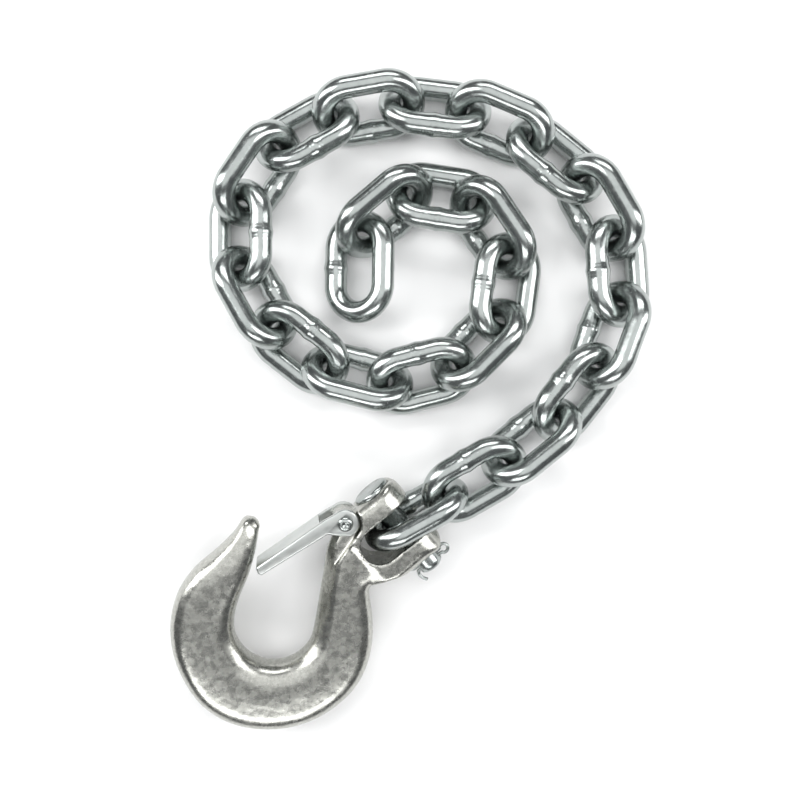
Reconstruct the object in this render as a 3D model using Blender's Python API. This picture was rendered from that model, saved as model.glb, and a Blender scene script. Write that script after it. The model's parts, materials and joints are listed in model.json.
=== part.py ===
"""Safety chain with a forged clevis slip hook, laid in a coil.

Metres, +Z up. The chain lies on its side in an inward coil, and the hook lies beside it.
Root: the forged hook with its latch rivet. Moving: the latch, the clevis pin, 24 links.
"""
import bpy
import bmesh
import math
from mathutils import Matrix, Vector

for old in list(bpy.data.objects):
    bpy.data.objects.remove(old, do_unlink=True)

# ---- Driving dimensions -------------------------------------------------------------------
WIRE = 0.010              # the round wire that each link is bent from
LINK_COUNT = 24
LINK_END_ROOM = 0.011     # between the two wires that hang in the ends of a link
LINK_INSIDE_LENGTH = 2 * WIRE + LINK_END_ROOM
LINK_SIDE_ROOM = 0.0045   # between the wire that hangs in a link and the link's own legs
LINK_INSIDE_WIDTH = WIRE + LINK_SIDE_ROOM
LINK_PLAY = 0.0008        # slack left between two links that hang in each other
RIM_STEPS = 8             # straight steps round each half-circle end of a link
WIRE_SIDES = 12
GAP = 0.0003              # clearance between pieces that touch on the real thing

FORGING = 0.0094          # hook size for this chain: its outline below is in tenths of this
HOOK_HALF_THICKNESS = 0.0092
YOKE_RADIUS = 0.0115      # of the ears, seen along the clevis pin
SLOT_ROOM = 0.0034        # beside the first link's wire in the slot between the ears
SLOT_HALF_WIDTH = WIRE / 2 + SLOT_ROOM
PIN_RADIUS = 0.00555
PIN_HEAD_RADIUS = 1.5 * PIN_RADIUS
PIN_CENTRE = 7.5 * FORGING
EAR_FACE = 1.84 * FORGING  # the seat that the pin's head lies on
COTTER_WIRE = 0.00074     # radius
COTTER_HALF_SPLIT = COTTER_WIRE + GAP / 2
COTTER_AT = -2.36 * FORGING

RIVET_RADIUS = 0.00235
SPRING_WIRE = 0.00052     # radius
SPRING_RADIUS = RIVET_RADIUS + GAP + 1.3 * SPRING_WIRE
SPRING_RISE = 2.3 * SPRING_WIRE
SPRING_TURNS = 1.25
LATCH_SHEET = 0.0017
LATCH_HALF_WIDTH = 0.0084
LATCH_INSIDE = LATCH_HALF_WIDTH - LATCH_SHEET
LATCH_LENGTH = 4.62 * FORGING
LATCH_TOP = SPRING_RADIUS + SPRING_WIRE + 2 * GAP + LATCH_SHEET   # the web passes over the spring
LATCH_CHEEK = LATCH_TOP + 0.0001
LATCH_ROOM = 0.0008       # round the latch's cheeks, where the forging is cut away for them
LUG_HALF_WIDTH = LATCH_INSIDE - 1.6 * GAP
POCKET_FLOOR = LATCH_INSIDE - 2 * GAP - 2 * SPRING_WIRE - SPRING_TURNS * SPRING_RISE
POCKET_RADIUS = SPRING_RADIUS + SPRING_WIRE + 3 * GAP
LUG_RADIUS = POCKET_RADIUS + 0.0007

# ---- How it lies --------------------------------------------------------------------------
HOOK_BEARING = 39.0       # degrees from +X, the way that the hook's shank points
HOOK_ROLL = 11.0          # degrees, the clevis pin's headed end lies higher
PIN_HEIGHT = 1.66 * WIRE
FIRST_BEARING = 29.0
# how far each link turns left from the one before it, degrees
TURNS = (1, 9, 13, 18, 24, 26, 21, 16, 16, 17, 19, 27, 34, 29, 23, 24, 28, 31, 37, 42, 47, 49, 49)
# how far each link leans from lying flat, degrees: in turn to the outside and to the inside
LEANS = (70, 34, 52, 40, 48, 34, 48, 34, 46, 36, 48, 34, 50, 34, 48, 34, 48, 34, 48, 30, 52, 28, 54, 28)
LIFTS = {2: 0.4 * WIRE, 3: 0.1 * WIRE}   # links held off the ground by the ones beside them

UP = Vector((0, 0, 1))


# ---- Helpers ------------------------------------------------------------------------------
def steel(name, colour, roughness):
    mat = bpy.data.materials.new(name)
    mat.use_nodes = True
    bsdf = mat.node_tree.nodes["Principled BSDF"]
    bsdf.inputs["Base Color"].default_value = (*colour, 1)
    bsdf.inputs["Metallic"].default_value = 1.0
    bsdf.inputs["Roughness"].default_value = roughness
    return mat


FORGED = steel("zinc_forged", (0.62, 0.63, 0.63), 0.34)
DRAWN = steel("zinc_wire", (0.68, 0.69, 0.68), 0.22)
STAMPED = steel("zinc_sheet", (0.66, 0.67, 0.66), 0.27)
TURNED = steel("zinc_turned", (0.65, 0.66, 0.66), 0.24)
SPRING = steel("spring_steel", (0.45, 0.46, 0.47), 0.25)


def solid(name, verts, faces, material=None, smooth=True):
    """A mesh object from points in metres, its faces turned to point outward."""
    mesh = bpy.data.meshes.new(name)
    mesh.from_pydata([tuple(v) for v in verts], [], faces)
    bm = bmesh.new()
    bm.from_mesh(mesh)
    bmesh.ops.remove_doubles(bm, verts=bm.verts, dist=0.000001)
    bmesh.ops.recalc_face_normals(bm, faces=bm.faces)
    bm.to_mesh(mesh)
    bm.free()
    mesh.validate()
    for poly in mesh.polygons:
        poly.use_smooth = smooth
    ob = bpy.data.objects.new(name, mesh)
    bpy.context.scene.collection.objects.link(ob)
    if material:
        mesh.materials.append(material)
    return ob


def rings_to_faces(count, sides, closed):
    faces = []
    last = count if closed else count - 1
    for i in range(last):
        a = i * sides
        b = ((i + 1) % count) * sides
        for j in range(sides):
            k = (j + 1) % sides
            faces.append((a + j, a + k, b + k, b + j))
    if not closed:
        faces.append(tuple(range(sides))[::-1])
        faces.append(tuple((count - 1) * sides + j for j in range(sides)))
    return faces


def tube(name, path, radius, sides, side_way, closed, material=None):
    """A round tube along a list of points; side_way is never parallel to the path."""
    verts = []
    count = len(path)
    for i, p in enumerate(path):
        before = path[i - 1] if (closed or i) else p
        after = path[(i + 1) % count] if (closed or i < count - 1) else p
        along = (after - before).normalized()
        a = (side_way - along * side_way.dot(along)).normalized()
        b = along.cross(a)
        for j in range(sides):
            t = 2 * math.pi * (j + 0.5) / sides
            verts.append(p + a * (radius * math.cos(t)) + b * (radius * math.sin(t)))
    return solid(name, verts, rings_to_faces(count, sides, closed), material)


def lathe(name, frame, axis, profile, sides, material=None):
    """Turn (distance along the axis, radius) pairs round an axis of the frame."""
    origin, ways = frame
    x = ways[axis]
    y = ways[(axis + 1) % 3]
    z = ways[(axis + 2) % 3]
    verts = []
    for along, radius in profile:
        for j in range(sides):
            t = 2 * math.pi * j / sides
            verts.append(origin + x * along + (y * math.cos(t) + z * math.sin(t)) * radius)
    return solid(name, verts, rings_to_faces(len(profile), sides, False), material)


def prism(name, frame, axis, outline, low, high):
    """A flat outline in the two other axes of the frame, thickened along one axis."""
    origin, ways = frame
    y = ways[(axis + 1) % 3]
    z = ways[(axis + 2) % 3]
    verts = []
    for along in (low, high):
        for p, q in outline:
            verts.append(origin + ways[axis] * along + y * p + z * q)
    return solid(name, verts, rings_to_faces(2, len(outline), False))


def carve(ob, operation, other):
    """Apply an exact boolean and throw its cutter away."""
    other.hide_render = True
    other.display_type = "WIRE"
    mod = ob.modifiers.new(operation, "BOOLEAN")
    mod.operation = operation
    mod.solver = "EXACT"
    mod.object = other
    apply_modifiers(ob)
    bpy.data.objects.remove(other, do_unlink=True)


def apply_modifiers(ob):
    bpy.context.view_layer.update()
    graph = bpy.context.evaluated_depsgraph_get()
    mesh = bpy.data.meshes.new_from_object(ob.evaluated_get(graph))
    ob.modifiers.clear()
    ob.data = mesh


def round_edges(ob, width, angle):
    mod = ob.modifiers.new("round", "BEVEL")
    mod.width = width
    mod.segments = 2
    mod.limit_method = "ANGLE"
    mod.angle_limit = math.radians(angle)
    mod.use_clamp_overlap = True
    apply_modifiers(ob)


def finish(ob, name, material, origin, sharp=35):
    """Name a finished piece, give it one material and put its origin where it turns."""
    bm = bmesh.new()
    bm.from_mesh(ob.data)
    bmesh.ops.remove_doubles(bm, verts=bm.verts, dist=0.000002)
    bmesh.ops.dissolve_degenerate(bm, edges=bm.edges, dist=0.000002)
    bmesh.ops.triangulate(bm, faces=[f for f in bm.faces if len(f.verts) > 4])
    bmesh.ops.recalc_face_normals(bm, faces=bm.faces)
    for edge in bm.edges:
        edge.smooth = len(edge.link_faces) == 2 and edge.calc_face_angle(0) < math.radians(sharp)
    for face in bm.faces:
        face.smooth = True
    bm.to_mesh(ob.data)
    bm.free()
    ob.data.materials.clear()
    ob.data.materials.append(material)
    ob.data.transform(Matrix.Translation(-origin))
    ob.location = origin
    ob.name = name
    ob.data.name = name


def arc(cx, cy, radius, start, end, steps):
    points = []
    for i in range(steps + 1):
        t = math.radians(start + (end - start) * i / steps)
        points.append((cx + radius * math.cos(t), cy + radius * math.sin(t)))
    return points


def tenths(points):
    """Outline numbers are tenths of the forging's size, so the hook grows with its chain."""
    return [tuple(c * FORGING / 10 for c in p) for p in points]


# ---- Hook frame: U runs from the bowl to the clevis pin, V towards the pin's head -----------
bearing = math.radians(HOOK_BEARING)
roll = math.radians(HOOK_ROLL)
HOOK_U = Vector((math.cos(bearing), math.sin(bearing), 0))
level = Vector((-math.sin(bearing), math.cos(bearing), 0))
HOOK_V = level * math.cos(roll) + UP * math.sin(roll)
HOOK_N = HOOK_U.cross(HOOK_V)
PIN_POINT = Vector((0, 0, PIN_HEIGHT))
BOWL = PIN_POINT - HOOK_U * PIN_CENTRE
HOOK = (BOWL, (HOOK_U, HOOK_V, HOOK_N))
PIN = (PIN_POINT, (HOOK_U, HOOK_V, HOOK_N))
PIVOT_UV = tenths([(57.0, 18.1)])[0]
PIVOT_POINT = BOWL + HOOK_U * PIVOT_UV[0] + HOOK_V * PIVOT_UV[1]
PIVOT = (PIVOT_POINT, (HOOK_U, HOOK_V, HOOK_N))
MM = FORGING / 10


# ---- The forging: sections from the point, round the bowl and up the shank -------------------
# outer edge (u, v), inner edge (u, v), half thickness, how sharply the inner side is bevelled
SECTIONS = (
    (24.4, 47.6, 23.8, 40.2, 3.8, 0.0),
    (21.6, 48.8, 20.6, 37.2, 6.0, 0.0),
    (13.2, 46.3, 15.0, 32.6, 8.0, 0.0),
    (1.6, 45.2, 6.4, 26.6, 9.3, 0.0),
    (-11.0, 44.9, -3.2, 21.4, 9.8, 0.0),
    (-24.0, 41.0, -10.2, 16.6, 9.8, 0.0),
    (-36.0, 32.0, -14.6, 12.0, 9.8, 0.0),
    (-44.6, 19.6, -17.3, 7.4, 9.8, 0.0),
    (-49.6, 4.8, -18.4, 1.9, 9.8, 0.0),
    (-50.6, -9.4, -18.2, -3.4, 9.8, 0.0),
    (-46.6, -23.2, -16.4, -8.6, 9.8, 0.0),
    (-38.2, -35.0, -13.8, -12.6, 9.8, 0.0),
    (-26.0, -44.4, -9.6, -16.1, 9.8, 0.0),
    (-11.4, -49.6, -4.2, -18.3, 9.8, 0.05),
    (3.6, -50.2, 2.0, -18.7, 9.8, 0.15),
    (16.4, -46.6, 8.4, -16.9, 9.8, 0.35),
    (28.0, -38.6, 14.4, -12.4, 9.8, 0.6),
    (37.2, -27.8, 20.8, -6.8, 9.8, 0.85),
    (42.4, -19.2, 28.0, -0.4, 9.8, 1.0),
    (45.8, -14.9, 35.4, 6.2, 9.9, 1.0),
    (50.0, -15.2, 43.0, 13.0, 10.2, 1.0),
    (56.0, -16.6, 53.0, 18.0, 10.6, 1.0),
)
# half a section from its inner edge to its outer one: (part of the width, part of the thickness)
ROUND_PROFILE = ((0, 0.2), (0.03, 0.52), (0.1, 0.78), (0.22, 0.94), (0.4, 1), (0.62, 1), (0.8, 0.96), (0.91, 0.8),
                 (0.975, 0.52), (1, 0.18))
BEVEL_PROFILE = ((0, 0.14), (0.05, 0.34), (0.13, 0.6), (0.22, 0.88), (0.32, 0.98), (0.55, 1), (0.78, 0.98),
                 (0.91, 0.82), (0.975, 0.52), (1, 0.18))
SECTION_SIDES = 20


def between(values, t):
    """Catmull-Rom through equally spaced tuples."""
    i = min(int(t), len(values) - 2)
    f = t - i
    p1 = values[i]
    p2 = values[i + 1]
    p0 = values[i - 1] if i else p1
    p3 = values[i + 2] if i + 2 < len(values) else p2
    out = []
    for a, b, c, d in zip(p0, p1, p2, p3):
        out.append(0.5 * (2 * b + (c - a) * f + (2 * a - 5 * b + 4 * c - d) * f * f
                          + (3 * b - a - 3 * c + d) * f ** 3))
    return out


def section_ring(row, scale=1.0, push=0.0):
    uo, vo, ui, vi, half, bevel = row
    outer = Vector((uo, vo))
    inner = Vector((ui, vi))
    middle = (outer + inner) / 2
    reach = (outer - inner) / 2 * scale
    side = Vector((reach.y, -reach.x)).normalized() * push
    thick = half * scale * HOOK_HALF_THICKNESS / (9.8 * MM)
    upper = []
    for (p, q), (pb, qb) in zip(ROUND_PROFILE, BEVEL_PROFILE):
        upper.append((p + (pb - p) * bevel, q + (qb - q) * bevel))
    loop = upper + [(p, -q) for p, q in reversed(upper)]
    ring = []
    for p, q in loop:
        at = middle + reach * (2 * p - 1) + side
        ring.append(BOWL + HOOK_U * (at.x * MM) + HOOK_V * (at.y * MM) + HOOK_N * (q * thick * MM))
    return ring


def build_hook():
    verts = []
    first = SECTIONS[0]
    verts += section_ring(first, 0.55, 1.6)
    verts += section_ring(first, 0.85, 0.9)
    count = 2
    steps = 2 * (len(SECTIONS) - 1)
    for i in range(steps + 1):
        verts += section_ring(between(SECTIONS, i / 2))
        count += 1
    hook = solid("hook", verts, rings_to_faces(count, SECTION_SIDES, False))

    # clevis yoke: its plan, side and end outlines crossed, which rounds the ears
    half = [(46, -12.5), (50, -14.4), (56, -16.4), (62, -18.8), (68, -20.1), (74, -20.3)]
    half += arc(81.6, -14.2, 6, -90, 0, 5)
    plan = half + [(u, -v) for u, v in reversed(half)]
    yoke = prism("yoke", HOOK, 2, tenths(plan), -YOKE_RADIUS, YOKE_RADIUS)
    r = YOKE_RADIUS / MM
    side = [(-7.0, 44), (-11.4, 54), (-r, 64)] + [(n, u) for u, n in arc(75, 0, r, -90, 90, 12)]
    side += [(11.4, 54), (7.0, 44)]
    carve(yoke, "INTERSECT", prism("lobe", HOOK, 1, tenths(side), -3 * FORGING, 3 * FORGING))
    w = 20.4
    h = r + 0.4
    end = arc(w - 7, h - 7, 7, 0, 90, 5) + arc(7 - w, h - 7, 7, 90, 180, 5)
    end += arc(7 - w, 7 - h, 7, 180, 270, 5) + arc(w - 7, 7 - h, 7, 270, 360, 5)
    carve(yoke, "INTERSECT", prism("end", HOOK, 0, tenths(end), 3 * FORGING, 10 * FORGING))
    slot = arc(62.8, 0, SLOT_HALF_WIDTH / MM, 270, 90, 10) + [(100, SLOT_HALF_WIDTH / MM),
                                                              (100, -SLOT_HALF_WIDTH / MM)]
    carve(hook, "UNION", yoke)
    carve(hook, "DIFFERENCE", prism("slot", HOOK, 2, tenths(slot), -2 * FORGING, 2 * FORGING))

    # flats beside the latch, then the lug that carries it
    for sign in (-1, 1):
        low, high = sorted((sign * (LATCH_INSIDE - GAP), sign * 2 * FORGING))
        carve(hook, "DIFFERENCE", prism("flat", PIVOT, 2, latch_sweep(LATCH_ROOM), low, high))
    lug = lathe("lug", PIVOT, 2, [(-LUG_HALF_WIDTH, LUG_RADIUS), (LUG_HALF_WIDTH, LUG_RADIUS)], 24)
    carve(hook, "UNION", lug)
    top = LATCH_INSIDE + 0.1 * FORGING
    carve(hook, "DIFFERENCE", lathe("pocket", PIVOT, 2, [(POCKET_FLOOR, POCKET_RADIUS), (top, POCKET_RADIUS)], 24))
    low = SPRING_RADIUS - SPRING_WIRE - GAP
    notch = [(GAP, low), (0.95 * FORGING, low), (0.95 * FORGING, 0.8 * FORGING), (GAP, 0.8 * FORGING)]
    notch = [latch_to_hook(x, y) for x, y in notch]
    carve(hook, "DIFFERENCE", prism("notch", PIVOT, 2, notch, POCKET_FLOOR + GAP / 3, top + GAP))
    hole = RIVET_RADIUS + GAP
    carve(hook, "DIFFERENCE", lathe("hole", PIVOT, 2, [(-FORGING, hole), (FORGING, hole)], 20))
    wide = PIN_HEAD_RADIUS + 2 * GAP
    seat = lathe("seat", PIN, 1, [(EAR_FACE, wide), (3 * FORGING, wide)], 24)
    carve(hook, "DIFFERENCE", seat)
    hole = PIN_RADIUS + GAP
    carve(hook, "DIFFERENCE", lathe("hole", PIN, 1, [(-3 * FORGING, hole), (3 * FORGING, hole)], 24))
    finish(hook, "hook_body", FORGED, BOWL)


# ---- Latch: a folded channel that swings on a rivet through the lug ---------------------------
LATCH_BEARING = 170.3     # degrees in the hook's plane, from the rivet to the latch's tip
LATCH_OPEN = 32.0


def latch_outline(grow, opened):
    """The latch's side outline round its rivet; grow is clearance, opened is degrees inward."""
    cheek = LATCH_CHEEK + grow
    end = LATCH_LENGTH + grow
    points = []
    for i in range(9):
        t = math.radians(78 + 200 * i / 8)
        points.append((cheek * math.cos(t), cheek * math.sin(t)))
    points += [(0.62 * FORGING, -0.32 * FORGING - grow), (0.95 * FORGING, -0.04 * FORGING - grow),
               (end - 0.1 * FORGING, -0.17 * FORGING - grow), (end, -0.02 * FORGING),
               (end - 0.05 * FORGING, 0.29 * FORGING + grow), (0.75 * FORGING, LATCH_TOP + grow)]
    return [latch_to_hook(x, y, opened) for x, y in points]


def latch_sweep(grow):
    """The plan of everything that the latch's cheeks and flanges pass over as it opens."""
    wide = LATCH_CHEEK + grow
    reach = 2.7 * FORGING
    points = arc(0, 0, wide, LATCH_BEARING + LATCH_OPEN + 90, LATCH_BEARING + 270, 10)
    points.append(latch_to_hook(reach, wide))
    points.append(latch_to_hook(reach, -0.4 * FORGING - grow, LATCH_OPEN))
    return points


def latch_to_hook(x, y, opened=0.0):
    """Latch coordinates (along, towards the outside) to hook coordinates round the rivet."""
    t = math.radians(LATCH_BEARING + opened)
    return (x * math.cos(t) + y * math.sin(t), x * math.sin(t) - y * math.cos(t))


def build_latch():
    latch = prism("latch", PIVOT, 2, latch_outline(0, 0), -LATCH_HALF_WIDTH, LATCH_HALF_WIDTH)
    round_edges(latch, 0.1 * FORGING, 60)
    end = LATCH_LENGTH + 0.2 * FORGING
    under = [(-2 * FORGING, -2 * FORGING), (end, -2 * FORGING), (end, 0.29 * FORGING - LATCH_SHEET),
             (1.02 * FORGING, LATCH_TOP - LATCH_SHEET), (1.02 * FORGING, 2 * FORGING),
             (-2 * FORGING, 2 * FORGING)]
    under = [latch_to_hook(x, y) for x, y in under]
    carve(latch, "DIFFERENCE", prism("under", PIVOT, 2, under, -LATCH_INSIDE, LATCH_INSIDE))
    hole = RIVET_RADIUS + GAP
    carve(latch, "DIFFERENCE", lathe("hole", PIVOT, 2, [(-2 * FORGING, hole), (2 * FORGING, hole)], 20))
    finish(latch, "latch_plate", STAMPED, PIVOT_POINT)

    face = LATCH_HALF_WIDTH + GAP
    head = 1.45 * RIVET_RADIUS
    rivet = [(-face - 0.6 * RIVET_RADIUS, 0.55 * head), (-face - 0.4 * RIVET_RADIUS, 0.9 * head), (-face, head),
             (-face, RIVET_RADIUS), (face, RIVET_RADIUS), (face, head), (face + 0.4 * RIVET_RADIUS, 0.9 * head),
             (face + 0.6 * RIVET_RADIUS, 0.55 * head)]
    finish(lathe("rivet", PIVOT, 2, rivet, 20), "latch_rivet", TURNED, PIVOT_POINT)

    # torsion spring: turns round the rivet beside the lug, its long leg under the latch
    low = POCKET_FLOOR + GAP + SPRING_WIRE
    lead_x, lead_y = latch_to_hook(1.05 * FORGING, SPRING_RADIUS)
    path = [(lead_x, lead_y, low)]
    steps = 20
    for i in range(steps + 1):
        t = math.radians(LATCH_BEARING - 90 - 360 * SPRING_TURNS * i / steps)
        height = low + SPRING_RISE * SPRING_TURNS * i / steps
        path.append((SPRING_RADIUS * math.cos(t), SPRING_RADIUS * math.sin(t), height))
    x, y, top = path[-1]
    path.append((x + math.sin(t) * 0.15 * FORGING, y - math.cos(t) * 0.15 * FORGING, top))
    world = [PIVOT_POINT + HOOK_U * a + HOOK_V * b + HOOK_N * c for a, b, c in path]
    spring = tube("spring", world, SPRING_WIRE, 8, HOOK_N, False)
    finish(spring, "latch_spring", SPRING, PIVOT_POINT)


# ---- Clevis pin and its cotter ----------------------------------------------------------------
def build_pin():
    head = EAR_FACE + GAP
    profile = [(-2.72 * FORGING, PIN_RADIUS * 0.8), (-2.6 * FORGING, PIN_RADIUS), (head, PIN_RADIUS),
               (head, PIN_HEAD_RADIUS), (head + 0.22 * FORGING, PIN_HEAD_RADIUS),
               (head + 0.3 * FORGING, 0.9 * PIN_HEAD_RADIUS)]
    pin = lathe("pin", PIN, 1, profile, 24)
    wide = COTTER_HALF_SPLIT + COTTER_WIRE + GAP
    hole = lathe("hole", (PIN_POINT + HOOK_V * COTTER_AT, (HOOK_U, HOOK_V, HOOK_N)), 0,
                 [(-FORGING, wide), (FORGING, wide)], 16)
    carve(pin, "DIFFERENCE", hole)
    finish(pin, "clevis_pin", TURNED, PIN_POINT)

    near = COTTER_HALF_SPLIT / FORGING
    side = PIN_RADIUS / FORGING
    points = [(-side - 0.03, -0.72), (-side - 0.15, -0.5), (-side - 0.18, -0.3), (-side - 0.11, -0.15),
              (0.01 - side, -near), (side + 0.03, -near)]
    for i in range(11):
        t = math.radians(-125 + 25 * i)
        points.append((side + 0.33 + 0.22 * math.cos(t), 0.22 * math.sin(t)))
    points += [(side + 0.03, near), (-side - 0.03, near), (-side - 0.25, near + 0.02), (-side - 0.35, near + 0.09)]
    path = [PIN_POINT + HOOK_U * (a * FORGING) + HOOK_V * (COTTER_AT + b * FORGING) for a, b in points]
    finish(tube("cotter", path, COTTER_WIRE, 8, HOOK_N, False), "cotter_pin", DRAWN, PIN_POINT)


# ---- Chain ----------------------------------------------------------------------------------
def link_frames():
    """Centre and directions (along, across, face) of each link, hung in the one before it."""
    frames = []
    half = (LINK_INSIDE_LENGTH + WIRE) / 2
    heading = FIRST_BEARING
    at = None
    before = 0.0
    for k in range(LINK_COUNT):
        if k:
            heading += TURNS[k - 1]
        after = TURNS[k] if k < LINK_COUNT - 1 else 0
        back = (WIRE + LINK_PLAY) / 2 / math.cos(math.radians(before) / 2)
        ahead = (WIRE + LINK_PLAY) / 2 / math.cos(math.radians(after) / 2)
        along = Vector((math.cos(math.radians(heading)), math.sin(math.radians(heading)), 0))
        if k == 0:
            centre = along * (LINK_INSIDE_LENGTH / 2 - PIN_RADIUS - 0.75 * LINK_PLAY)
        else:
            centre = at + along * (half - back)
        at = centre + along * (half - ahead)
        before = after
        lean = math.radians(LEANS[k])
        left = Vector((-along.y, along.x, 0))
        outside = -left if k % 2 == 0 else left
        across = outside * math.cos(lean) + UP * math.sin(lean)
        height = WIRE / 2 + (LINK_INSIDE_WIDTH + WIRE) / 2 * math.sin(lean) + LIFTS.get(k + 1, 0)
        frames.append((Vector((centre.x, centre.y, height)), along, across, along.cross(across)))
    return frames


def build_link(number, centre, along, across, face, origin):
    bend = (LINK_INSIDE_WIDTH + WIRE) / 2
    straight = (LINK_INSIDE_LENGTH + WIRE) / 2 - bend
    path = []
    for sign in (1, -1):
        for i in range(RIM_STEPS + 1):
            t = -math.pi / 2 + math.pi * i / RIM_STEPS
            path.append(centre + (along * (straight + bend * math.cos(t)) + across * (bend * math.sin(t))) * sign)
    link = tube("link", path, WIRE / 2, WIRE_SIDES, face, True)
    finish(link, "chain_link_%02d" % number, DRAWN, origin)


def build_chain():
    frames = link_frames()
    half = (LINK_INSIDE_LENGTH + WIRE) / 2
    for k, (centre, along, across, face) in enumerate(frames):
        origin = PIN_POINT
        if k:
            origin = frames[k - 1][0] + frames[k - 1][1] * half
        build_link(k + 1, centre, along, across, face, origin)


def centre_on_floor():
    """Put the middle of the whole thing's foot at the world's origin."""
    bpy.context.view_layer.update()
    corners = []
    for ob in bpy.data.objects:
        corners += [ob.matrix_world @ v.co for v in ob.data.vertices]
    low = Vector([min(c[i] for c in corners) for i in range(3)])
    high = Vector([max(c[i] for c in corners) for i in range(3)])
    shift = Vector(((low.x + high.x) / 2, (low.y + high.y) / 2, low.z))
    for ob in bpy.data.objects:
        ob.location = ob.location - shift


build_hook()
build_latch()
build_pin()
build_chain()
centre_on_floor()
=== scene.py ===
# %% [markdown]
# # A trailer safety chain with a forged slip hook
# Twenty-four welded links lie on their sides in a loose coil. The first link hangs on a
# clevis pin between the two ears of a forged hook, and a sprung latch closes the hook's
# mouth. All of it is steel with bright zinc plating. This notebook rebuilds every piece in
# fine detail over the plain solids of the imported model, which say where each piece sits and
# how it turns.

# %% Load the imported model
import json
import math

import bmesh
import bpy
import numpy as np
from mathutils import Matrix, Vector


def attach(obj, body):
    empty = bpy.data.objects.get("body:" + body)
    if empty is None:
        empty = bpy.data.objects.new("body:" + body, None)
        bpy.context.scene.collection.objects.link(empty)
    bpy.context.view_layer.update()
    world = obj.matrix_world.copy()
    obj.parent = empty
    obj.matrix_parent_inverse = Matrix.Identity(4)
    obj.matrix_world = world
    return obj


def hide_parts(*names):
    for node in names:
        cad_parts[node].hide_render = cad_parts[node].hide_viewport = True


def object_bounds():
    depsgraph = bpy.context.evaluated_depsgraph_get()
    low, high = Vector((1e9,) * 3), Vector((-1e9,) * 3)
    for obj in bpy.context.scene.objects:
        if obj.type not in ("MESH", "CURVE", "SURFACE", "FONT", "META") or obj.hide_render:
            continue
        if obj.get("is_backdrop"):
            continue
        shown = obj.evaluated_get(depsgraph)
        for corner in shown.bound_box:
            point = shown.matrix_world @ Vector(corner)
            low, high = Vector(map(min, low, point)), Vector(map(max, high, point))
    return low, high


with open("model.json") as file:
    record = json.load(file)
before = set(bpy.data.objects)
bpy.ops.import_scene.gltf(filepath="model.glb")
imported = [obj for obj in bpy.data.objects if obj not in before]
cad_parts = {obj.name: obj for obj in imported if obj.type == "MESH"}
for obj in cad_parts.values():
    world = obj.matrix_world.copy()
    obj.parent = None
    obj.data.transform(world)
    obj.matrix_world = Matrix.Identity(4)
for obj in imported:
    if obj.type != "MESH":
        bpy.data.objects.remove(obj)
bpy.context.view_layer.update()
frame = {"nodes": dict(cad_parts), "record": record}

# %% [markdown]
# ## The hook's own directions
# The model's record holds the axis of each joint. The clevis pin's axis and the latch
# rivet's axis are at right angles, so together with their product they are a ready-made
# set of directions for everything on the hook: u runs up the shank, v along the pin, and n
# along the rivet, through the thickness of the forging. The forging grows with its chain, so
# its sizes are given in a hook unit, a tenth of its nominal size.

# %% Directions and centres of the hook
MM = 0.001
joints = {j["name"]: j for j in frame["record"]["behaviour"]["joints"]}
PIN = Vector(joints["clevis_pin_turn"]["pos_m"])
RIVET = Vector(joints["latch_hinge"]["pos_m"])
V_WAY = Vector(joints["clevis_pin_turn"]["axis"]).normalized()
N_WAY = Vector(joints["latch_hinge"]["axis"]).normalized()
U_WAY = V_WAY.cross(N_WAY)
UNIT = 0.94 * MM
PIN_AT = 75                # from the centre of the bowl to the pin, in hook units
BOWL = PIN - U_WAY * (PIN_AT * UNIT)
WAYS = (U_WAY, V_WAY, N_WAY)
print("pin at mm", [round(c * 1000, 1) for c in PIN], "shank points", [round(c, 2) for c in U_WAY])


def in_hook(u, v, n, centre=BOWL):
    """A point given in hook units along the hook's directions."""
    return centre + (U_WAY * u + V_WAY * v + N_WAY * n) * UNIT


# %% [markdown]
# ## Zinc plating
# Every surface is the same metal finish, so the differences between the pieces are in what
# lies under the plating. Drawn wire is smooth with long shallow waves, a forging is grainy
# and slightly pitted, and sheet is flat with a faint grain. One small function adds a node,
# and a second one builds the plating from a few sizes in real millimetres.

# %% Colour and node helpers
def linear(hex_colour):
    """Turn an sRGB hex colour into the linear numbers that the shader wants."""
    parts = [int(hex_colour[i:i + 2], 16) / 255 for i in (1, 3, 5)]
    return tuple(c / 12.92 if c <= 0.04045 else ((c + 0.055) / 1.055) ** 2.4 for c in parts) + (1.0,)


def add_node(tree, kind, **inputs):
    """Add a node and set its inputs; a tuple of (node, socket name) becomes a link."""
    node = tree.nodes.new(kind)
    for name, value in inputs.items():
        socket = node.inputs[name.replace("_", " ")]
        if isinstance(value, tuple) and len(value) == 2 and hasattr(value[0], "outputs"):
            tree.links.new(value[0].outputs[value[1]], socket)
        else:
            socket.default_value = value
    return node


# %% The plating itself
GLOSS_PATCH_MM = 3.0


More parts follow.
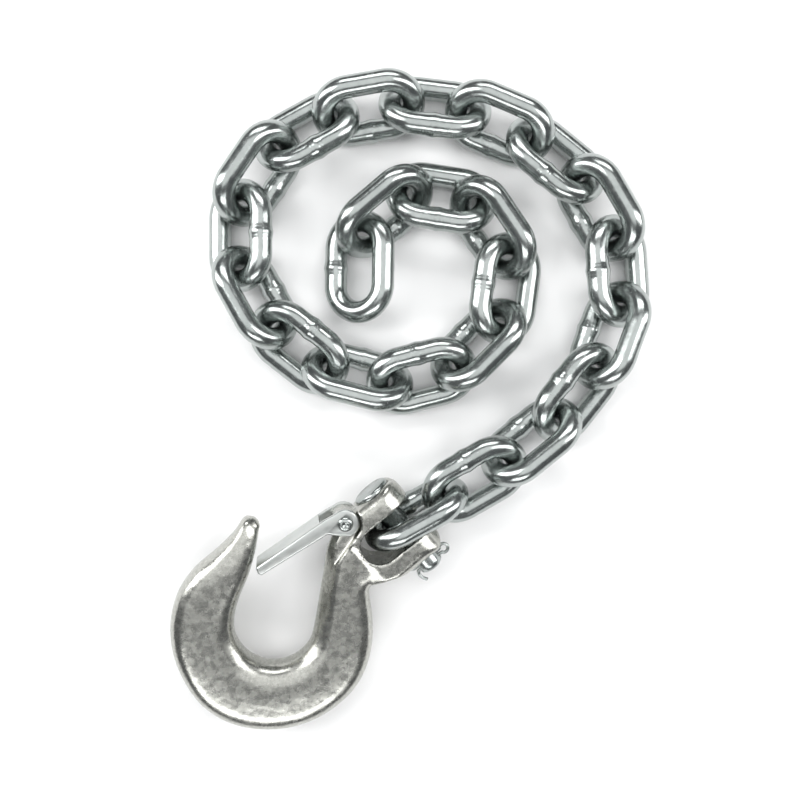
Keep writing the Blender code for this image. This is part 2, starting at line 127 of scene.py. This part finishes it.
def zinc_plating(name, bright, dull, cloud_mm, smooth, rough, wave_mm, wave_height, grain_mm,
                 grain_height):
    """Bright zinc: two greys in clouds, patches of gloss, a wave, and a fine grain."""
    material = bpy.data.materials.new(name)
    material.use_nodes = True
    tree = material.node_tree
    shader = tree.nodes["Principled BSDF"]
    shader.inputs["Metallic"].default_value = 1.0
    shader.inputs["IOR"].default_value = 1.9
    place = add_node(tree, "ShaderNodeTexCoord")
    clouds = add_node(tree, "ShaderNodeTexNoise", Vector=(place, "Object"), Scale=1000 / cloud_mm,
                      Detail=4.0, Roughness=0.6)
    mix = add_node(tree, "ShaderNodeMix")
    mix.data_type = "RGBA"
    tree.links.new(clouds.outputs["Fac"], mix.inputs[0])
    mix.inputs[6].default_value = linear(bright)
    mix.inputs[7].default_value = linear(dull)
    tree.links.new(mix.outputs[2], shader.inputs["Base Color"])
    patches = add_node(tree, "ShaderNodeTexNoise", Vector=(place, "Object"),
                       Scale=1000 / GLOSS_PATCH_MM, Detail=5.0)
    gloss = add_node(tree, "ShaderNodeMapRange", Value=(patches, "Fac"), From_Min=0.3, From_Max=0.7,
                     To_Min=smooth, To_Max=rough)
    tree.links.new(gloss.outputs["Result"], shader.inputs["Roughness"])
    wave = add_node(tree, "ShaderNodeTexNoise", Vector=(place, "Object"), Scale=1000 / wave_mm,
                    Detail=2.0)
    wave_bump = add_node(tree, "ShaderNodeBump", Height=(wave, "Fac"), Distance=wave_height * MM)
    grain = add_node(tree, "ShaderNodeTexNoise", Vector=(place, "Object"), Scale=1000 / grain_mm,
                     Detail=0.0)
    grain_bump = add_node(tree, "ShaderNodeBump", Height=(grain, "Fac"), Distance=grain_height * MM,
                          Normal=(wave_bump, "Normal"))
    tree.links.new(grain_bump.outputs["Normal"], shader.inputs["Normal"])
    return material


ZINC_WIRE = zinc_plating("zinc on drawn wire", "#B9BEBC", "#989E9C",
                         7.0, 0.18, 0.28, 6.0, 0.07, 0.7, 0.004)
ZINC_FORGED = zinc_plating("zinc on forging", "#D4D4CE", "#84857F",
                           1.3, 0.22, 0.32, 9.0, 0.34, 0.45, 0.014)
ZINC_SHEET = zinc_plating("zinc on sheet", "#CDD0CD", "#BBBFBD",
                          7.0, 0.28, 0.38, 5.0, 0.04, 0.5, 0.004)
ZINC_TURNED = zinc_plating("zinc on turned bar", "#B4B8B6", "#949A99",
                           3.0, 0.2, 0.3, 3.0, 0.04, 0.4, 0.006)
SPRING_STEEL = zinc_plating("spring steel", "#9A9DA0", "#7E8286",
                            3.0, 0.2, 0.3, 2.0, 0.02, 0.3, 0.004)
print("finishes:", [m.name for m in bpy.data.materials if m.name.startswith(("zinc", "spring"))])

# %% [markdown]
# ## The chain link
# A link is bent from round wire into a long loop and welded where the ends meet, in the
# middle of one leg. The weld stands up a little round the wire, with a fine line at each
# edge where the upset metal was trimmed. The shape follows a rule, so Geometry Nodes are
# the natural tool: a rectangle with fully rounded ends is the wire's route, its radius swells
# near the weld, and Curve to Mesh sweeps a circle along it.

# %% A Geometry Nodes tree with named inputs
def new_tree(name, sizes):
    """An empty Geometry Nodes tree with one float input for each named size."""
    tree = bpy.data.node_groups.new(name, "GeometryNodeTree")
    tree.interface.new_socket("Geometry", in_out="INPUT", socket_type="NodeSocketGeometry")
    tree.interface.new_socket("Geometry", in_out="OUTPUT", socket_type="NodeSocketGeometry")
    for label, value in sizes.items():
        socket = tree.interface.new_socket(label, in_out="INPUT", socket_type="NodeSocketFloat")
        socket.default_value = value
    return tree, tree.nodes.new("NodeGroupInput"), tree.nodes.new("NodeGroupOutput")


def maths(tree, operation, a, b=None):
    """One Math node; a and b are numbers or (node, socket name)."""
    node = tree.nodes.new("ShaderNodeMath")
    node.operation = operation
    for socket, value in zip(node.inputs, (a, b)):
        if isinstance(value, tuple):
            tree.links.new(value[0].outputs[value[1]], socket)
        elif value is not None:
            socket.default_value = value
    return (node, "Value")


def close_tree(tree, geometry, exit_node, material):
    """Smooth shading, real geometry and one material at the end of every tree."""
    smooth = add_node(tree, "GeometryNodeSetShadeSmooth", Geometry=geometry)
    real = add_node(tree, "GeometryNodeRealizeInstances", Geometry=(smooth, "Geometry"))
    painted = add_node(tree, "GeometryNodeSetMaterial", Geometry=(real, "Geometry"),
                       Material=material)
    tree.links.new(painted.outputs["Geometry"], exit_node.inputs["Geometry"])


# %% The link's tree
HUMP_WIDTH = 1.9 * MM      # how far the weld's swelling reaches along the wire
TRIM_AT = 2.3 * MM         # the fine lines to either side of it
TRIM_WIDTH = 0.45 * MM
TRIM_SHARE = 0.16          # their height, as a share of the weld's
BELL_BASE = 2.718


def build_link_tree():
    """A loop of round wire that swells at its weld."""
    sizes = {"Wire Radius": 5 * MM, "Half Length": 20.5 * MM, "Half Width": 12.25 * MM,
             "Weld Side": 1.0, "Weld Height": 0.45 * MM, "Weld Shift": 0.0}
    tree, start, end = new_tree("welded chain link", sizes)
    route = add_node(tree, "GeometryNodeCurvePrimitiveQuadrilateral",
                     Width=maths(tree, "MULTIPLY", (start, "Half Length"), 2.0),
                     Height=maths(tree, "MULTIPLY", (start, "Half Width"), 2.0))
    bend = add_node(tree, "GeometryNodeFilletCurve", Curve=(route, "Curve"),
                    Radius=maths(tree, "MULTIPLY", (start, "Half Width"), 0.999))
    bend.mode = "POLY"
    bend.inputs["Count"].default_value = 24
    dense = add_node(tree, "GeometryNodeResampleCurve", Curve=(bend, "Curve"), Count=220)
    place = add_node(tree, "GeometryNodeInputPosition")
    parts = add_node(tree, "ShaderNodeSeparateXYZ", Vector=(place, "Position"))
    along = maths(tree, "SUBTRACT", (parts, "X"), (start, "Weld Shift"))
    side = maths(tree, "MULTIPLY", (parts, "Y"), (start, "Weld Side"))
    on_leg = maths(tree, "GREATER_THAN", side, 0.0)
    hump = bell(tree, along, 0.0, HUMP_WIDTH)
    left = maths(tree, "MULTIPLY", bell(tree, along, -TRIM_AT, TRIM_WIDTH), TRIM_SHARE)
    right = maths(tree, "MULTIPLY", bell(tree, along, TRIM_AT, TRIM_WIDTH), TRIM_SHARE)
    ridge = maths(tree, "ADD", hump, maths(tree, "ADD", left, right))
    swell = maths(tree, "MULTIPLY", maths(tree, "MULTIPLY", ridge, on_leg), (start, "Weld Height"))
    thick = maths(tree, "ADD", (start, "Wire Radius"), swell)
    ring = add_node(tree, "GeometryNodeCurvePrimitiveCircle", Resolution=36, Radius=1.0)
    sweep = add_node(tree, "GeometryNodeCurveToMesh", Curve=(dense, "Curve"),
                     Profile_Curve=(ring, "Curve"), Scale=thick)
    close_tree(tree, (sweep, "Mesh"), end, ZINC_WIRE)
    return tree


def bell(tree, along, centre, width):
    """A smooth bump along the wire: 1 at its centre, fading over its width."""
    away = maths(tree, "DIVIDE", maths(tree, "SUBTRACT", along, centre), width)
    fade = maths(tree, "MULTIPLY", maths(tree, "MULTIPLY", away, away), -1.0)
    return maths(tree, "POWER", BELL_BASE, fade)


LINK_TREE = build_link_tree()
print("link tree nodes:", len(LINK_TREE.nodes))


# %% [markdown]
# ## From a tree to a plain mesh
# The tree runs as a modifier on an empty carrier mesh. Each input is set by its identifier
# before the first evaluation, the result is copied as a plain mesh, and the carrier goes.
# The finished mesh is moved in its own points, so its object stays at the origin.

# %% Run a tree and keep its mesh
def put(name, data):
    """A new object in the scene."""
    piece = bpy.data.objects.new(name, data)
    bpy.context.scene.collection.objects.link(piece)
    return piece


def grow(name, tree, values, carrier_mesh=None):
    """Run a tree with the given inputs and return what it makes as a plain mesh."""
    carrier = put("carrier", carrier_mesh or bpy.data.meshes.new("carrier"))
    modifier = carrier.modifiers.new("tree", "NODES")
    modifier.node_group = tree
    for item in tree.interface.items_tree:
        if item.in_out == "INPUT" and item.name in values:
            modifier[item.identifier] = values[item.name]
    bpy.context.view_layer.update()
    graph = bpy.context.evaluated_depsgraph_get()
    mesh = bpy.data.meshes.new_from_object(carrier.evaluated_get(graph))
    mesh.name = name
    carrier.modifiers.remove(modifier)
    bpy.data.objects.remove(carrier, do_unlink=True)
    return mesh


def show(name, mesh, body, *nodes):
    """Put a finished mesh in the scene, on its body, in place of its plain solids."""
    piece = put(name, mesh)
    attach(piece, body)
    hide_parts(*nodes)
    return piece


def face_out(mesh):
    """Merge doubles and turn every face outward."""
    work = bmesh.new()
    work.from_mesh(mesh)
    bmesh.ops.remove_doubles(work, verts=work.verts, dist=0.000001)
    bmesh.ops.recalc_face_normals(work, faces=work.faces)
    if work.calc_volume() < 0:
        bmesh.ops.reverse_faces(work, faces=work.faces)
    work.to_mesh(mesh)
    work.free()
    for poly in mesh.polygons:
        poly.use_smooth = True
    return mesh


# %% [markdown]
# ## Hanging the links
# Each plain link is a loop, so its three main directions can be read from its points: it is
# longest along the chain, less long across, and thinnest through. The weld is on the leg
# towards the middle of the coil, apart from the last link, whose weld is on its other leg.

# %% Read where a link lies
def main_directions(node):
    """A plain link's centre, its long direction and its direction across."""
    mesh = frame["nodes"][node].data
    points = np.empty(len(mesh.vertices) * 3)
    mesh.vertices.foreach_get("co", points)
    points = points.reshape(-1, 3)
    spread = (points - points.mean(0)).T @ (points - points.mean(0))
    ways = np.linalg.eigh(spread)[1]
    return Vector(points.mean(0)), Vector(ways[:, 2]), Vector(ways[:, 1])


# %% Make the links
WELD_LOWEST_MM = 0.38
WELD_SPREAD_MM = 0.14
WELD_SHIFT_MM = 1.2        # the whole range in which a weld lies off the middle of its leg

rng = np.random.default_rng(24)
link_names = sorted(n for n in frame["nodes"] if n.startswith("chain_link"))
link_centres = {n: main_directions(n)[0] for n in link_names}
for place, name in enumerate(link_names):
    centre, along, across = main_directions(name)
    onward = link_names[min(place + 1, len(link_names) - 1)]
    behind = link_names[max(place - 1, 0)]
    travel = link_centres[onward] - link_centres[behind]
    if along.dot(travel) < 0:
        along = -along
    if across.z < 0:
        across = -across
    face = along.cross(across)
    inner_is_high = 1.0 if place % 2 else -1.0
    values = {"Weld Side": inner_is_high if place < len(link_names) - 1 else -inner_is_high,
              "Weld Height": (WELD_LOWEST_MM + WELD_SPREAD_MM * rng.random()) * MM,
              "Weld Shift": (rng.random() - 0.5) * WELD_SHIFT_MM * MM}
    mesh = grow(name, LINK_TREE, values)
    turn = Matrix((along, across, face)).transposed().to_4x4()
    mesh.transform(Matrix.Translation(centre) @ turn)
    show("link_%02d_wire" % (place + 1), face_out(mesh), "link_%02d" % (place + 1), name)
print("links made:", len(link_names), "faces in one:", len(mesh.polygons))

# %% [markdown]
# ## The forged hook
# A hook forging is a bar that swells towards the bottom of the bowl and thins to a point, so
# it is made as a loft: a list of sections from the point round the bowl to the shank. Each
# has its outer edge, its inner edge, its thickness, and how far it changes from the full
# shape of the bowl to the shape of the shank, which is bevelled on its inner side. The
# clevis ears are three crossed outlines. The two are joined, then remeshed and relaxed,
# which gives the soft fillets that a forging die leaves.

# %% Sections of the bowl and shank, in hook units
# Each row: the outer edge (u, v), the inner edge (u, v), half the thickness, share of bevel.
SECTIONS = (
    (24.4, 47.6, 23.8, 40.2, 3.8, 0.0),
    (21.6, 48.8, 20.6, 37.2, 6.0, 0.0),
    (13.2, 46.3, 15.0, 32.6, 8.0, 0.0),
    (1.6, 45.2, 6.4, 26.6, 9.3, 0.0),
    (-11.0, 44.9, -3.2, 21.4, 9.8, 0.0),
    (-24.0, 41.0, -10.2, 16.6, 9.8, 0.0),
    (-36.0, 32.0, -14.6, 12.0, 9.8, 0.0),
    (-44.6, 19.6, -17.3, 7.4, 9.8, 0.0),
    (-49.6, 4.8, -18.4, 1.9, 9.8, 0.0),
    (-50.6, -9.4, -18.2, -3.4, 9.8, 0.0),
    (-46.6, -23.2, -16.4, -8.6, 9.8, 0.0),
    (-38.2, -35.0, -13.8, -12.6, 9.8, 0.0),
    (-26.0, -44.4, -9.6, -16.1, 9.8, 0.0),
    (-11.4, -49.6, -4.2, -18.3, 9.8, 0.05),
    (3.6, -50.2, 2.0, -18.7, 9.8, 0.15),
    (16.4, -46.6, 8.4, -16.9, 9.8, 0.35),
    (28.0, -38.6, 14.4, -12.4, 9.8, 0.6),
    (37.2, -27.8, 20.8, -6.8, 9.8, 0.85),
    (42.4, -19.2, 28.0, -0.4, 9.8, 1.0),
    (45.8, -14.9, 35.4, 6.2, 9.9, 1.0),
    (50.0, -15.2, 43.0, 13.0, 10.2, 1.0),
    (56.0, -16.6, 53.0, 18.0, 10.6, 1.0),
)
# Half a section, from its inner edge to its outer one: part of the width, part of the thickness.
FULL = ((0, 0.2), (0.03, 0.52), (0.1, 0.78), (0.22, 0.94), (0.4, 1),
        (0.62, 1), (0.8, 0.96), (0.91, 0.8), (0.975, 0.52), (1, 0.18))
BEVELLED = ((0, 0.14), (0.05, 0.34), (0.13, 0.6), (0.22, 0.88), (0.32, 0.98),
            (0.55, 1), (0.78, 0.98), (0.91, 0.82), (0.975, 0.52), (1, 0.18))
OUTLINE_STEPS = 3          # points for each listed one, round a section
LOFT_STEPS = 5             # rings for each listed section, along the hook
NOSE = ((0.3, 2.0), (0.6, 1.6), (0.85, 0.9))   # size and push of the rings that close the point


def on_curve(a, b, c, d, f):
    """The place f of the way from b to c, on a smooth curve through all four."""
    bend = (2 * a - 5 * b + 4 * c - d) * f * f
    return 0.5 * (2 * b + (c - a) * f + bend + (3 * b - a - 3 * c + d) * f ** 3)


def section_between(t):
    """The section at a place between two listed ones."""
    i = min(int(t), len(SECTIONS) - 2)
    rows = [np.array(SECTIONS[min(max(k, 0), len(SECTIONS) - 1)]) for k in (i - 1, i, i + 1, i + 2)]
    return on_curve(*rows, t - i)


def closed_section(bevel):
    """The whole outline of a section, with extra points on a smooth curve."""
    upper = np.array(FULL) * (1 - bevel) + np.array(BEVELLED) * bevel
    loop = np.concatenate([upper, upper[::-1] * (1, -1)])
    count = len(loop)
    around = [[loop[(i + k) % count] for k in (-1, 0, 1, 2)] for i in range(count)]
    return [on_curve(*four, j / OUTLINE_STEPS) for four in around for j in range(OUTLINE_STEPS)]


def section_ring(row, scale=1.0, push=0.0):
    """A section's points in place, at a scale, and pushed off along the hook."""
    outer, inner = np.array(row[0:2]), np.array(row[2:4])
    middle, reach = (outer + inner) / 2, (outer - inner) / 2 * scale
    side = np.array([reach[1], -reach[0]])
    side = side / np.linalg.norm(side) * push
    ring = []
    for p, q in closed_section(row[5]):
        at = middle + reach * (2 * p - 1) + side
        ring.append(in_hook(at[0], at[1], row[4] * q * scale))
    return ring


# %% Solids from rings, outlines and turned profiles
def skin(name, verts, rings, sides):
    """A closed solid from rings of points, with a flat face at each end."""
    faces = []
    for i in range(rings - 1):
        for j in range(sides):
            k = (j + 1) % sides
            faces.append((i * sides + j, i * sides + k, (i + 1) * sides + k, (i + 1) * sides + j))
    faces.append(tuple(range(sides))[::-1])
    faces.append(tuple((rings - 1) * sides + j for j in range(sides)))
    mesh = bpy.data.meshes.new(name)
    mesh.from_pydata([tuple(v) for v in verts], [], faces)
    return put(name, face_out(mesh))


def plate(name, centre, axis, outline, low, high):
    """An outline in hook units in the two other directions, made solid along one."""
    y, z = WAYS[(axis + 1) % 3], WAYS[(axis + 2) % 3]
    verts = []
    for along in (low, high):
        for p, q in outline:
            verts.append(centre + (WAYS[axis] * along + y * p + z * q) * UNIT)
    return skin(name, verts, 2, len(outline))


def turned(name, centre, axis, profile, sides):
    """(distance, radius) pairs in hook units, turned round one of the hook's directions."""
    y, z = WAYS[(axis + 1) % 3], WAYS[(axis + 2) % 3]
    verts = []
    for along, radius in profile:
        for j in range(sides):
            t = 2 * math.pi * j / sides
            outward = (y * math.cos(t) + z * math.sin(t)) * radius
            verts.append(centre + (WAYS[axis] * along + outward) * UNIT)
    return skin(name, verts, len(profile), sides)


def arc(x, y, radius, start, end, steps):
    """Points on a circle's arc, from one bearing to another in degrees."""
    turns = [math.radians(start + (end - start) * i / steps) for i in range(steps + 1)]
    return [(x + radius * math.cos(t), y + radius * math.sin(t)) for t in turns]


# %% Boolean and modifier helpers
def settle(piece):
    """Turn a piece with modifiers into a plain mesh."""
    bpy.context.view_layer.update()
    graph = bpy.context.evaluated_depsgraph_get()
    mesh = bpy.data.meshes.new_from_object(piece.evaluated_get(graph))
    piece.modifiers.clear()
    piece.data = mesh


def cut(piece, operation, tool):
    """Join, cut or trim a piece with a tool, and throw the tool away."""
    step = piece.modifiers.new(operation, "BOOLEAN")
    step.operation = operation
    step.solver = "EXACT"
    step.object = tool
    settle(piece)
    bpy.data.objects.remove(tool, do_unlink=True)


def round_edges(piece, width, angle, segments):
    """Round every edge that is sharper than an angle."""
    step = piece.modifiers.new("rounding", "BEVEL")
    step.width = width * UNIT
    step.segments = segments
    step.limit_method = "ANGLE"
    step.angle_limit = math.radians(angle)
    settle(piece)


def relax_skin(piece, voxel_mm, passes):
    """Cover a piece with an even skin, then let the skin relax, which rounds every edge."""
    skin_step = piece.modifiers.new("even skin", "REMESH")
    skin_step.mode = "VOXEL"
    skin_step.voxel_size = voxel_mm * MM
    relax = piece.modifiers.new("relax", "SMOOTH")
    relax.factor = 0.5
    relax.iterations = passes
    settle(piece)


def hand_over(piece, material, name, body, node):
    """Give a worked piece its material, show its mesh, and drop the working copy."""
    piece.data.materials.clear()
    piece.data.materials.append(material)
    for poly in piece.data.polygons:
        poly.use_smooth = True
    show(name, piece.data, body, node)
    bpy.data.objects.remove(piece, do_unlink=True)


# %% Named sizes of the fittings, in hook units
EAR_HALF = 12.25           # half the depth of the ears along n, and the radius of their ends
PIN_RADIUS = 5.9
COTTER_AT = 23.6           # from the middle of the pin to its cotter
RIVET_BORE = 2.82          # the same in the lug and in the latch's cheeks
CHEEK_RADIUS = 6.65
BOTH_WAYS = 30             # far enough for a cutter to pass through both ears


# %% The latch's outline, which the hook makes room for
LATCH_BEARING = 170.3
LATCH_OPEN = 32.0


def from_latch(x, y, opened=0.0):
    """A place on the latch (along, outward) as the hook's u and v round the rivet."""
    t = math.radians(LATCH_BEARING + opened)
    return (x * math.cos(t) + y * math.sin(t), x * math.sin(t) - y * math.cos(t))


def latch_sweep(grow_by):
    """The plan of everything that the latch's cheeks and flanges pass over as it opens."""
    wide = CHEEK_RADIUS + grow_by
    points = arc(0, 0, wide, LATCH_BEARING + LATCH_OPEN + 90, LATCH_BEARING + 270, 32)
    return points + [from_latch(27, wide), from_latch(27, -4 - grow_by, LATCH_OPEN)]


# %% Loft of the bowl and shank
verts = []
for scale, push in NOSE:
    verts += section_ring(SECTIONS[0], scale, push)
rings = LOFT_STEPS * (len(SECTIONS) - 1) + 1
for i in range(rings):
    verts += section_ring(section_between(i / LOFT_STEPS))
rings += len(NOSE)
hook = skin("forging", verts, rings, len(closed_section(0)))
print("loft sections:", rings)

# %% Ears, slot, flats and lug
half = [(46, -12.5), (50, -14.4), (56, -16.4), (62, -18.8), (68, -20.1), (74, -20.3)]
half += arc(81.6, -14.2, 6, -90, 0, 20)
ears = plate("ears", BOWL, 2, half + [(u, -v) for u, v in reversed(half)], -EAR_HALF, EAR_HALF)
lobe = [(-7.0, 44), (-11.4, 54), (-EAR_HALF, 64)]
lobe += [(n, u) for u, n in arc(PIN_AT, 0, EAR_HALF, -90, 90, 36)] + [(11.4, 54), (7.0, 44)]
cut(ears, "INTERSECT", plate("lobe", BOWL, 1, lobe, -BOTH_WAYS, BOTH_WAYS))
dome = arc(13.4, 5.65, 7, 0, 90, 16) + arc(-13.4, 5.65, 7, 90, 180, 16)
dome += arc(-13.4, -5.65, 7, 180, 270, 16) + arc(13.4, -5.65, 7, 270, 360, 16)
cut(ears, "INTERSECT", plate("dome", BOWL, 0, dome, 30, 100))
relax_skin(ears, 0.7, 14)
cut(hook, "UNION", ears)
slot = arc(62.8, 0, 8.94, 270, 90, 24) + [(100, 8.94), (100, -8.94)]
cut(hook, "DIFFERENCE", plate("slot", BOWL, 2, slot, -20, 20))
for low, high in ((6.81, 20), (-20, -6.81)):
    cut(hook, "DIFFERENCE", plate("flat", RIVET, 2, latch_sweep(0.85), low, high))
cut(hook, "UNION", turned("lug", RIVET, 2, [(-6.62, 5.79), (6.62, 5.79)], 48))
print("forging before relaxing, faces:", len(hook.data.polygons))

# %% Remesh and relax the forging, then bore it
relax_skin(hook, 0.5, 8)
cut(hook, "DIFFERENCE", turned("seat", PIN, 1, [(18.4, 9.49), (30, 9.49)], 64))
bore = [(-BOTH_WAYS, 6.22), (BOTH_WAYS, 6.22)]
cut(hook, "DIFFERENCE", turned("pin bore", PIN, 1, bore, 64))
cut(hook, "DIFFERENCE", turned("spring pocket", RIVET, 2, [(3.79, 5.05), (8.1, 5.05)], 48))
notch = [from_latch(x, y) for x, y in ((0.3, 2.67), (9.5, 2.67), (9.5, 8), (0.3, 8))]
cut(hook, "DIFFERENCE", plate("notch", RIVET, 2, notch, 3.9, 8.3))
bore = [(-10, RIVET_BORE), (10, RIVET_BORE)]
cut(hook, "DIFFERENCE", turned("rivet bore", RIVET, 2, bore, 48))
hand_over(hook, ZINC_FORGED, "hook_forging", "hook", "hook_body")
print("hook made")

# %% [markdown]
# ## The latch
# The latch is stamped from sheet about 1.7 mm thick and folded to a channel: a web on the
# outside, two flanges, and a round cheek on each flange for the rivet. A solid block with
# the latch's side outline is hollowed from below, and its edges are rounded like sheared and
# folded sheet.

# %% Latch channel
outline = arc(0, 0, CHEEK_RADIUS, 78, 278, 30)
outline += [(6.2, -3.2), (9.5, -0.4), (45.2, -1.7), (46.2, -0.2), (45.7, 2.9), (7.5, 6.54)]
latch = plate("latch", RIVET, 2, [from_latch(x, y) for x, y in outline], -8.93, 8.93)
round_edges(latch, 1.0, 60, 4)
under = [(-20, -20), (48, -20), (48, 1.09), (10.2, 4.73), (10.2, 20), (-20, 20)]
hollow = plate("hollow", RIVET, 2, [from_latch(x, y) for x, y in under], -7.13, 7.13)
cut(latch, "DIFFERENCE", hollow)
bore = [(-20, RIVET_BORE), (20, RIVET_BORE)]
cut(latch, "DIFFERENCE", turned("bore", RIVET, 2, bore, 40))
round_edges(latch, 0.25, 50, 2)
hand_over(latch, ZINC_SHEET, "latch_channel", "latch", "latch_plate")

# %% Rivet with a dimple in each end
end = [(9.26, 3.62), (9.6, 3.55), (10.0, 3.3), (10.4, 2.7),
       (10.62, 1.9), (10.6, 1.5), (10.2, 1.0), (10.0, 0.4)]
profile = [(-a, r) for a, r in reversed(end)] + [(-9.26, 2.5), (9.26, 2.5)] + end
rivet = turned("rivet", RIVET, 2, profile, 48)
hand_over(rivet, ZINC_TURNED, "rivet_heads", "hook", "latch_rivet")
print("latch and rivet made")

# %% [markdown]
# ## Wire pieces
# The torsion spring and the cotter pin are both wire on a route. A small Geometry Nodes tree
# resamples the route and sweeps a circle along it, so both are one tool with a different
# radius.

# %% A tree that sweeps wire along a route
def build_wire_tree(name, material):
    """Round wire with closed ends, along the carrier's own edges."""
    tree, start, end = new_tree(name, {"Wire Radius": 0.5 * MM})
    route = add_node(tree, "GeometryNodeMeshToCurve", Mesh=(start, "Geometry"))
    soft = add_node(tree, "GeometryNodeCurveSplineType", Curve=(route, "Curve"))
    soft.spline_type = "CATMULL_ROM"
    dense = add_node(tree, "GeometryNodeResampleCurve", Curve=(soft, "Curve"), Count=260)
    ring = add_node(tree, "GeometryNodeCurvePrimitiveCircle", Resolution=14)
    tree.links.new(start.outputs["Wire Radius"], ring.inputs["Radius"])
    sweep = add_node(tree, "GeometryNodeCurveToMesh", Curve=(dense, "Curve"))
    sweep.inputs["Fill Caps"].default_value = True
    tree.links.new(ring.outputs["Curve"], sweep.inputs["Profile Curve"])
    close_tree(tree, (sweep, "Mesh"), end, material)
    return tree


def route_mesh(points):
    """A chain of edges through the points."""
    mesh = bpy.data.meshes.new("route")
    mesh.from_pydata([tuple(p) for p in points], [(i, i + 1) for i in range(len(points) - 1)], [])
    return mesh


# %% Torsion spring
COIL_STEPS = 16            # points in one turn
COIL_POINTS = 21           # a turn and a quarter
radius, low, rise = 3.54, 4.665, 1.272
lead = from_latch(10.5, radius)
route = [in_hook(lead[0], lead[1], low, RIVET)]
for i in range(COIL_POINTS):
    t = math.radians(LATCH_BEARING - 90 - 360 * i / COIL_STEPS)
    height = low + rise * i / COIL_STEPS
    route.append(in_hook(radius * math.cos(t), radius * math.sin(t), height, RIVET))
tail_u = radius * math.cos(t) + 1.5 * math.sin(t)
tail_v = radius * math.sin(t) - 1.5 * math.cos(t)
route.append(in_hook(tail_u, tail_v, height, RIVET))
spring_tree = build_wire_tree("spring wire", SPRING_STEEL)
spring = grow("spring", spring_tree, {"Wire Radius": 0.553 * UNIT}, route_mesh(route))
show("torsion_spring", face_out(spring), "hook", "latch_spring")

# %% [markdown]
# ## Clevis pin and cotter
# The clevis pin is turned bar with an upset head. The cotter is one length of wire, folded
# to an eye, put through the pin's tail and spread.

# %% Clevis pin
tail = [(-27.2, 3.0), (-27.2, 4.4), (-26.9, 4.95)]
shaft = [(along, PIN_RADIUS) for along in (-26.0, -24.0, 0, 18.72)]
head = [(18.72, 8.65), (18.9, 8.85), (20.6, 8.85), (21.3, 8.5), (21.7, 7.8), (21.7, 3.0)]
pin = turned("pin", PIN, 1, tail + shaft + head, 64)
bore = [(-10, 2.05), (10, 2.05)]
cut(pin, "DIFFERENCE", turned("cotter bore", in_hook(0, -COTTER_AT, 0, PIN), 0, bore, 32))
hand_over(pin, ZINC_TURNED, "pin_bar", "clevis_pin_body", "clevis_pin")

# %% Cotter
route = [(-6.2, -7.2), (-7.4, -5.0), (-7.7, -3.0), (-7.0, -1.5), (-5.8, -0.95), (6.2, -0.95)]
route += arc(9.2, 0, 2.2, -125, 125, 10) + [(6.2, 0.95), (-6.2, 0.95), (-8.4, 1.15), (-9.4, 1.85)]
points = [in_hook(a, b - COTTER_AT, 0, PIN) for a, b in route]
cotter_tree = build_wire_tree("cotter wire", ZINC_WIRE)
cotter = grow("cotter", cotter_tree, {"Wire Radius": 0.787 * UNIT}, route_mesh(points))
show("cotter_wire", face_out(cotter), "clevis_pin_body", "cotter_pin")
print("spring, pin and cotter made")

# %% [markdown]
# ## Floor, light and camera
# Bright metal shows what is round it, so the light decides how it looks. Large soft boxes
# give the broad white reflections, and the darker gaps between them draw the dark lines
# along each wire. The floor is plain and pale, and the camera looks straight down.

# %% Floor
mesh = bpy.data.meshes.new("floor")
mesh.from_pydata([(-3, -3, 0), (3, -3, 0), (3, 3, 0), (-3, 3, 0)], [], [(0, 1, 2, 3)])
floor = put("floor", mesh)
paper = bpy.data.materials.new("pale paper")
paper.use_nodes = True
paper_shader = paper.node_tree.nodes["Principled BSDF"]
paper_shader.inputs["Base Color"].default_value = linear("#F6F6F6")
paper_shader.inputs["Roughness"].default_value = 0.9
mesh.materials.append(paper)
floor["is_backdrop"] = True


# %% Soft boxes
def soft_box(name, place, width, height, watts):
    """An area light that faces the coil."""
    lamp = bpy.data.lights.new(name, "AREA")
    lamp.shape = "RECTANGLE"
    lamp.size, lamp.size_y = width, height
    lamp.energy = watts
    holder = put(name, lamp)
    holder.location = place
    holder.rotation_euler = (-Vector(place)).to_track_quat("-Z", "Y").to_euler()


soft_box("left box", (-1.0, 0.3, 0.75), 0.5, 1.3, 12)
soft_box("right box", (1.0, 0.1, 0.8), 0.45, 1.2, 9)
soft_box("back box", (0.1, 1.05, 0.9), 1.2, 0.4, 8)
soft_box("front box", (-0.1, -1.05, 0.8), 1.1, 0.35, 6)
soft_box("top box", (0.0, 0.0, 1.8), 1.6, 1.6, 10)

# %% Dim surroundings
world = bpy.data.worlds.new("studio")
bpy.context.scene.world = world
world.use_nodes = True
world.node_tree.nodes["Background"].inputs["Color"].default_value = linear("#77797B")
world.node_tree.nodes["Background"].inputs["Strength"].default_value = 0.75

# %% Camera straight above
lens = bpy.data.cameras.new("camera")
lens.lens = 45.4
lens.sensor_width = 36
camera = put("camera", lens)
camera.location = (-0.0062, 0.0002, 0.465)
bpy.context.scene.camera = camera
bpy.context.scene.view_settings.view_transform = "Standard"

# %% Sizes and the end
low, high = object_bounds()
print("visual size in mm:", [round((b - a) * 1000, 1) for a, b in zip(low, high)])
